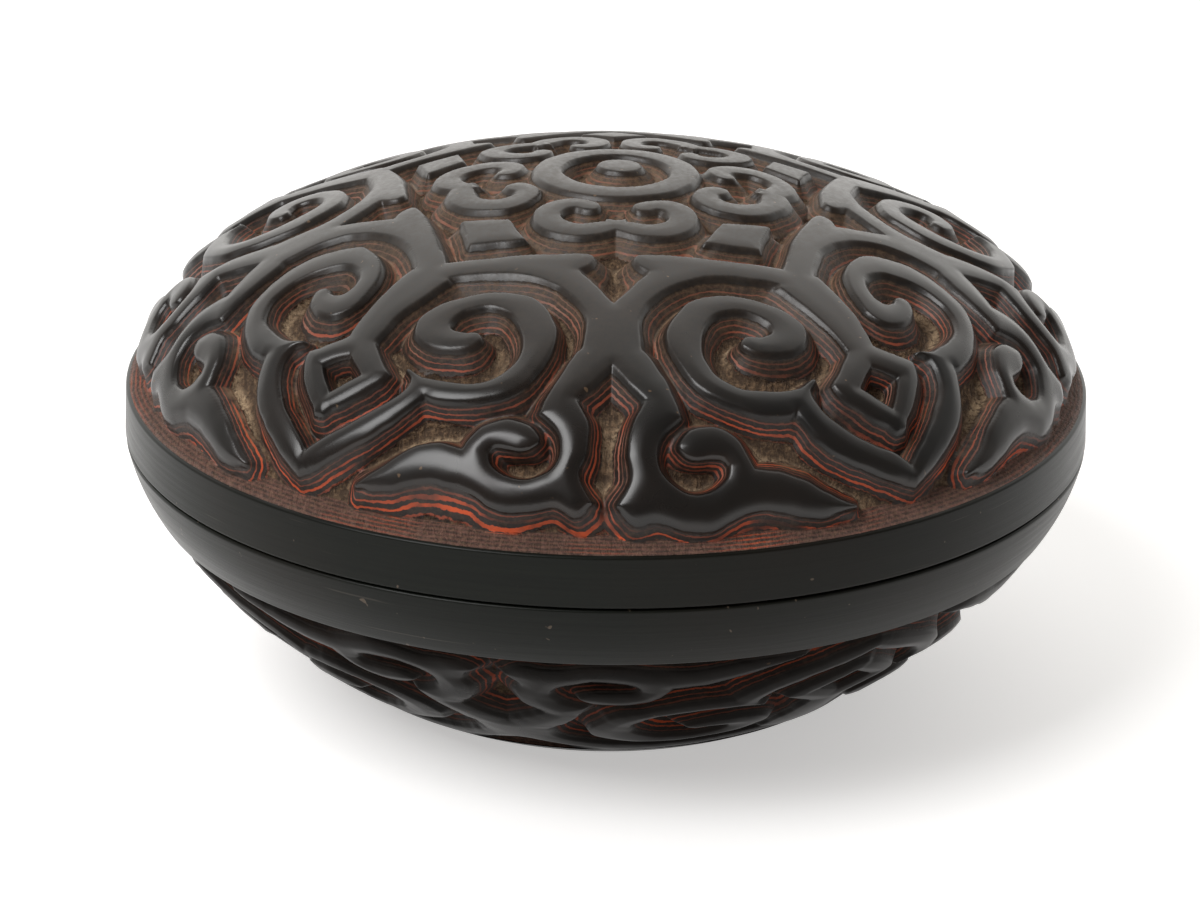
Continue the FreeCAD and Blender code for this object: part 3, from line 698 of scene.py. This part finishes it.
def carved_material(name, shine, painted_shade):
    """Black over red layers: smooth tops, striped walls, scratched floors pale at the foot of the
    walls.

    The values stored with the meshes say how deep, how pale the floor and how much a bevel a spot
    is.
    """
    shader = Shader(name)
    cut = shader.attribute("cut")
    # Floor paleness: dust everywhere, and painted light behind the scrolls.
    gathered_dust_and_backlight = shader.attribute("dust_and_backlight")
    bevel = shader.attribute("bevel")
    place = shader.split(shader.coords)
    lean = shader.split(shader.facing)
    level = cut
    for scale, detail, reach in ((130, 2.0, 0.34), (620, 3.0, 0.12), (3200, 2.0, 0.10)):
        uneven = shader.math("SUBTRACT", shader.noise(scale, detail), 0.5)
        level = shader.plus(level, shader.times(uneven, reach))
    fibre = shader.noise(2400, 5.0, 0.7)
    grain = shader.noise(4300, 5.0, 0.75)

    # The red is fresh near the rim and dull higher up, and paler pink where it faces the window:
    # painted light, partly dust.
    near_rim = shader.span(place[2], *RED_DULLS, 1.0, 0.12)
    stripes, bright = layer_lines(shader, level, near_rim)
    fresh = shader.times(bright, near_rim)
    fresh = shader.times(fresh, shader.span(shader.noise(150, 3.0), 0.34, 0.56, 0.35, 1.0))
    red = shader.mix(fresh, RUST, RED)
    # Walls turned toward the window are mixed toward pink: painted light, with some dust.
    lit = shader.plus(shader.times(lean[0], -0.8), shader.times(lean[2], 0.5))
    dust_and_window_light = shader.times(shader.span(lit, 0.35, 0.75, 0.0, 0.8),
                         shader.span(shader.noise(260, 4.0, 0.6), 0.40, 0.60))
    red = shader.mix(dust_and_window_light, red, PINK)
    between = shader.mix(shader.span(fibre, 0.45, 0.66, 0.0, 0.85), DEEP, EARTH)
    walls = shader.mix(stripes, between, red)

    # Dust settles low on walls that face upward.
    settled = shader.times(shader.span(lean[2], 0.62, 0.95),
                           shader.span(shader.noise(900, 5.0, 0.7), 0.38, 0.60))
    settled = shader.times(settled, shader.span(cut, 0.70, 1.30))
    walls = shader.mix(shader.times(settled, 0.85), walls, BROWN)

    # Over the crown a brown film thickens toward the top: partly dust, partly a painted sheen.
    dust_and_sheen_film = shader.times(shader.span(place[2], *DUST_AND_SHEEN_THICKENS, 0.0, 0.55),
                        shader.span(fibre, 0.36, 0.62, 0.25, 1.0))
    walls = shader.mix(dust_and_sheen_film, walls, BROWN)

    wear = shader.times(shader.span(cut, 0.06, 0.20),
                        shader.span(shader.noise(240, 4.0), 0.45, 0.65))
    tops = shader.mix(shader.span(shader.noise(130, 5.0), 0.35, 0.70, 0.0, 0.35), BLACK, WORN)
    tops = shader.mix(shader.times(wear, 0.5), tops, WORN)
    # The tops over the crown are browned by the same film: partly dust, partly painted sheen.
    tops = shader.mix(shader.times(dust_and_sheen_film, 0.16), tops, BROWN)
    specks = shader.span(shader.noise(1700, 1.0), 0.765, 0.80)
    tops = shader.mix(shader.times(specks, 0.5), tops, BROWN)
    on_wall = shader.span(level, *WALL_FROM)
    colour = shader.mix(on_wall, tops, walls)

    # Floors: fine scratched brown, with pale dust at the foot of the walls, and paler behind the
    # scrolls as painted light.
    hatch = shader.noise(1500, 4.0, 0.65, (2.6, 0.5, 1.4))
    crossed = shader.noise(1500, 4.0, 0.65, (0.5, 2.6, 1.4), 3.0)
    hatch = shader.times(shader.span(hatch, 0.42, 0.56, 0.10, 1.0),
                         shader.span(crossed, 0.40, 0.54, 0.30, 1.0))
    scratch = shader.times(shader.span(grain, 0.36, 0.55, 0.15, 1.0), hatch)
    floor = shader.mix(scratch, EARTH, BROWN)
    # Pale tan at the foot of the walls: dust, and painted light behind the scrolls.
    dust_and_backlight = shader.times(shader.span(gathered_dust_and_backlight, 0.15, 0.80, 0.05, 1.0),
                        shader.span(shader.noise(420, 4.0, 0.6), 0.34, 0.58, 0.30, 1.0))
    dust_and_backlight = shader.times(dust_and_backlight, shader.span(fibre, 0.40, 0.55, 0.10, 1.0))
    floor = shader.mix(dust_and_backlight, floor, TAN)
    torn = shader.plus(shader.times(fibre, 0.5),
                       shader.times(shader.noise(500, 3.0), 0.4))
    ragged = shader.plus(cut, shader.math("SUBTRACT", torn, 0.45))
    on_floor = shader.span(ragged, *FLOOR_FROM)
    colour = shader.mix(on_floor, colour, floor)

    # Bevel at the rim: many thin dull layers cut at a slant, rubbed and dusty.
    wave = shader.math("SINE", shader.times(level, 26.0))
    fine = shader.mix(shader.span(wave, -0.8, 0.9), DULL, MAUVE)
    patch = shader.span(shader.noise(48, 3.0), 0.53, 0.61)
    flash = shader.times(shader.span(wave, 0.2, 0.8), patch)
    fine = shader.mix(shader.times(flash, 0.85), fine, RED)
    fine = shader.mix(shader.span(fibre, 0.46, 0.62, 0.0, 0.40), fine, PINK)
    fine = shader.mix(shader.span(grain, 0.48, 0.62, 0.0, 0.40), fine, BROWN)
    colour = shader.mix(bevel, colour, fine)
    # Mixed toward black by the share given: painted shade.
    colour = shader.mix(painted_shade, colour, BLACK)
    shader.join(colour, shader.surface.inputs["Base Color"])

    smudge = shader.span(shader.noise(85, 4.0), 0.35, 0.65, -0.03, 0.05)
    gloss = shader.plus(shader.span(cut, 0.30, 0.60, 0.28, 0.50), smudge)
    gloss = shader.plus(gloss, shader.times(dust_and_sheen_film, 0.30))
    coarse = shader.math("MAXIMUM", on_floor, bevel)
    gloss = shader.plus(gloss, shader.times(coarse, 0.35))
    shader.join(gloss, shader.surface.inputs["Roughness"])
    shader.surface.inputs["Specular IOR Level"].default_value = shine
    cuts = shader.times(shader.plus(grain, hatch), coarse)
    normal = shader.bump(cuts, 0.7, 0.0002)
    steps = shader.times(shader.plus(fibre, level), on_wall)
    normal = shader.bump(steps, 0.28, 0.00015, normal)
    normal = shader.bump(shader.noise(110, 3.0), 0.06, 0.0005, normal)
    shader.join(normal, shader.surface.inputs["Normal"])
    return shader.material


def band_material():
    """Brushed black lacquer with a faint green cast, fine scratches and rubbed brown patches."""
    shader = Shader("band_black_lacquer")
    streak = shader.noise(60, 6.0, 0.65, (1, 1, 46))
    cloud = shader.noise(38, 4.0, 0.5)
    tone = shader.ramp(streak, [(0.30, BAND_DARK), (0.72, BAND_LIGHT)])
    shader.surface.inputs["Specular IOR Level"].default_value = 0.15
    brown = shader.span(cloud, 0.52, 0.68, 0.0, 0.45)
    tone = shader.mix(brown, tone, BAND_WORN)
    scratch = shader.noise(900, 2.0, 0.5, (0.10, 0.10, 5.0))
    marks = shader.span(scratch, 0.70, 0.74)
    tone = shader.mix(shader.times(marks, 0.5), tone, BAND_MARK)
    specks = shader.span(shader.noise(1500, 1.0), 0.77, 0.80)
    tone = shader.mix(shader.times(specks, 0.6), tone, BAND_SPECK)
    shader.join(tone, shader.surface.inputs["Base Color"])
    gloss = shader.plus(shader.span(streak, 0.3, 0.7, 0.27, 0.38),
                        shader.span(cloud, 0.3, 0.7, -0.03, 0.06))
    shader.join(gloss, shader.surface.inputs["Roughness"])
    normal = shader.bump(streak, 0.10, 0.00022)
    normal = shader.bump(shader.noise(140, 2.0), 0.05, 0.0005, normal)
    shader.join(normal, shader.surface.inputs["Normal"])
    return shader.material


def inner_material():
    """Plain black lacquer: softly uneven, a little worn."""
    shader = Shader("inner_black_lacquer")
    tone = shader.ramp(shader.noise(90, 4.0), [(0.3, INNER_DARK), (0.7, INNER_LIGHT)])
    rings = shader.noise(50, 5.0, 0.6, (1, 1, 30))
    tone = shader.mix(shader.span(rings, 0.58, 0.75, 0.0, 0.4), tone, INNER_WORN)
    shader.join(tone, shader.surface.inputs["Base Color"])
    shader.join(shader.span(shader.noise(300, 3.0), 0.3, 0.7, 0.20, 0.32),
                shader.surface.inputs["Roughness"])
    normal = shader.bump(shader.noise(150, 2.0), 0.06, 0.0005)
    normal = shader.bump(rings, 0.06, 0.0002, normal)
    shader.join(normal, shader.surface.inputs["Normal"])
    return shader.material


def wood_material():
    """Turned wood, its flat rims sealed with black lacquer."""
    shader = Shader("turned_wood")
    grain = shader.noise(40, 6.0, 0.6, (1, 1, 18))
    tone = shader.ramp(grain, [(0.3, WOOD_DARK), (0.7, WOOD_LIGHT)])
    sealed = shader.span(shader.math("ABSOLUTE", shader.split(shader.facing)[2]), 0.97, 0.99)
    tone = shader.mix(sealed, tone, WORN)
    shader.join(tone, shader.surface.inputs["Base Color"])
    shader.join(shader.span(sealed, 0.0, 1.0, 0.65, 0.34), shader.surface.inputs["Roughness"])
    shader.join(shader.bump(grain, 0.2, 0.0004), shader.surface.inputs["Normal"])
    return shader.material


carved = carved_material("carved_lacquer_layers", shine=0.44, painted_shade=0.0)
# Copy for the bowl under the lid, darkened toward black: painted shade, with less shine.
shaded = carved_material("carved_lacquer_painted_shade", shine=0.05, painted_shade=0.62)
band = band_material()
inner = inner_material()
wood = wood_material()
NODE_MATERIALS = {
    "lid_wood_core": wood, "lid_carved_lacquer": carved, "lid_rim_band": band,
    "lid_lining": inner, "base_wood_core": wood, "base_carved_lacquer": shaded,
    "base_rim_band": band, "base_locating_lip": inner, "base_lining": inner,
    "base_foot_ring": band, "base_underside_lacquer": inner,
}
for name, material in NODE_MATERIALS.items():
    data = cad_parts[name].data
    data.materials.clear()
    data.materials.append(material)
lid_relief.data.materials.append(carved)
base_relief.data.materials.append(shaded)
for piece in (lid_band, base_band):
    piece.data.materials.append(band)

# Pale floor, seen almost white, with the object's shadow kept. Half its side is in metres.
FLOOR_HALF = 3
FLOOR_DARK, FLOOR_LIGHT = (0.83, 0.825, 0.82), (0.87, 0.865, 0.86)
FLOOR_TINT = (1, 0.985, 0.975, 1)
FLOOR_GLOW = 0.48
mesh = bpy.data.meshes.new("floor")
corners = [(x * FLOOR_HALF, y * FLOOR_HALF, 0) for x, y in ((-1, -1), (1, -1), (1, 1), (-1, 1))]
mesh.from_pydata(corners, [], [(0, 1, 2, 3)])
floor = bpy.data.objects.new("floor", mesh)
bpy.context.scene.collection.objects.link(floor)
shader = Shader("pale_paper")
tone = shader.ramp(shader.noise(1500, 2.0), [(0.3, FLOOR_DARK), (0.7, FLOOR_LIGHT)])
shader.join(tone, shader.surface.inputs["Base Color"])
shader.surface.inputs["Roughness"].default_value = 0.8
seen = shader.tree.nodes.new("ShaderNodeLightPath")
either = shader.math("MAXIMUM", seen.outputs["Is Camera Ray"], seen.outputs["Is Glossy Ray"])
either = shader.math("MAXIMUM", either, seen.outputs["Is Transmission Ray"])
shader.surface.inputs["Emission Color"].default_value = FLOOR_TINT
shader.join(shader.times(either, FLOOR_GLOW), shader.surface.inputs["Emission Strength"])
mesh.materials.append(shader.material)

# Soft studio light: bright wall behind, dimmer room in front and overhead. Brightness by share
# of the way from the front to the back, the two ends first, and the tint of it all.
ROOM = [(0.0, 0.10), (1.0, 1.9), (0.35, 0.15), (0.60, 0.46), (0.80, 1.30)]
ROOM_TINT = (1.0, 0.985, 0.95)
world = bpy.data.worlds.new("studio")
bpy.context.scene.world = world
world.use_nodes = True
nodes, links = world.node_tree.nodes, world.node_tree.links
toward = nodes.new("ShaderNodeTexCoord")
split = nodes.new("ShaderNodeSeparateXYZ")
links.new(toward.outputs["Generated"], split.inputs[0])
fall = nodes.new("ShaderNodeValToRGB")
fall.color_ramp.interpolation = "EASE"
for number, (place, level) in enumerate(ROOM):
    mark = fall.color_ramp.elements[number] if number < 2 else fall.color_ramp.elements.new(place)
    mark.position = place
    mark.color = (*(level * tint for tint in ROOM_TINT), 1)
spread = nodes.new("ShaderNodeMapRange")
for number, item in enumerate((-1.0, 1.0, 0.0, 1.0)):
    spread.inputs[number + 1].default_value = item
links.new(split.outputs[1], spread.inputs[0])
links.new(spread.outputs[0], fall.inputs[0])
links.new(fall.outputs[0], nodes["Background"].inputs["Color"])
nodes["Background"].inputs["Strength"].default_value = 1.0

# One soft window: where it stands as seen from just above the floor, in metres, and its power.
WINDOW_TOWARD = (-0.50, -0.42, 0.76)
WINDOW_DISTANCE = 0.7
WINDOW_AIM = (0, 0, 0.02)
WINDOW_SIZE = 0.36
WINDOW_POWER = 3.7
lamp = bpy.data.lights.new("window", "AREA")
lamp.size = WINDOW_SIZE
lamp.energy = WINDOW_POWER
window = bpy.data.objects.new("window", lamp)
bpy.context.scene.collection.objects.link(window)
direction = Vector(WINDOW_TOWARD).normalized()
window.location = direction * WINDOW_DISTANCE + Vector(WINDOW_AIM)
window.rotation_mode = "QUATERNION"
window.rotation_quaternion = direction.to_track_quat("Z", "Y")

# Camera fitted to the photograph: its turns in radians, its place in millimetres, and its focal
# length and the width of the picture in pixels.
YAW, PITCH, ROLL = 0.0047, 0.3798, -0.0138
CAMERA_X, CAMERA_Y, CAMERA_Z = -1.633, -266.84, 122.27
FOCAL_PIXELS, PICTURE_WIDTH = 3959.6, 1200
SENSOR_WIDTH = 36
NEAREST = 0.01
forward = Vector((math.sin(YAW) * math.cos(PITCH), math.cos(YAW) * math.cos(PITCH),
                  -math.sin(PITCH)))
level = Vector((math.cos(YAW), -math.sin(YAW), 0))
down = forward.cross(level)
right = level * math.cos(ROLL) + down * math.sin(ROLL)
up = level * math.sin(ROLL) - down * math.cos(ROLL)
lens = bpy.data.cameras.new("camera")
lens.sensor_width = SENSOR_WIDTH
lens.lens = SENSOR_WIDTH * FOCAL_PIXELS / PICTURE_WIDTH
lens.clip_start = NEAREST
camera = bpy.data.objects.new("camera", lens)
bpy.context.scene.collection.objects.link(camera)
camera.matrix_world = Matrix((
    (right.x, up.x, -forward.x, CAMERA_X * MM),
    (right.y, up.y, -forward.y, CAMERA_Y * MM),
    (right.z, up.z, -forward.z, CAMERA_Z * MM),
    (0, 0, 0, 1)))
bpy.context.scene.camera = camera
bpy.context.scene.view_settings.view_transform = "Standard"
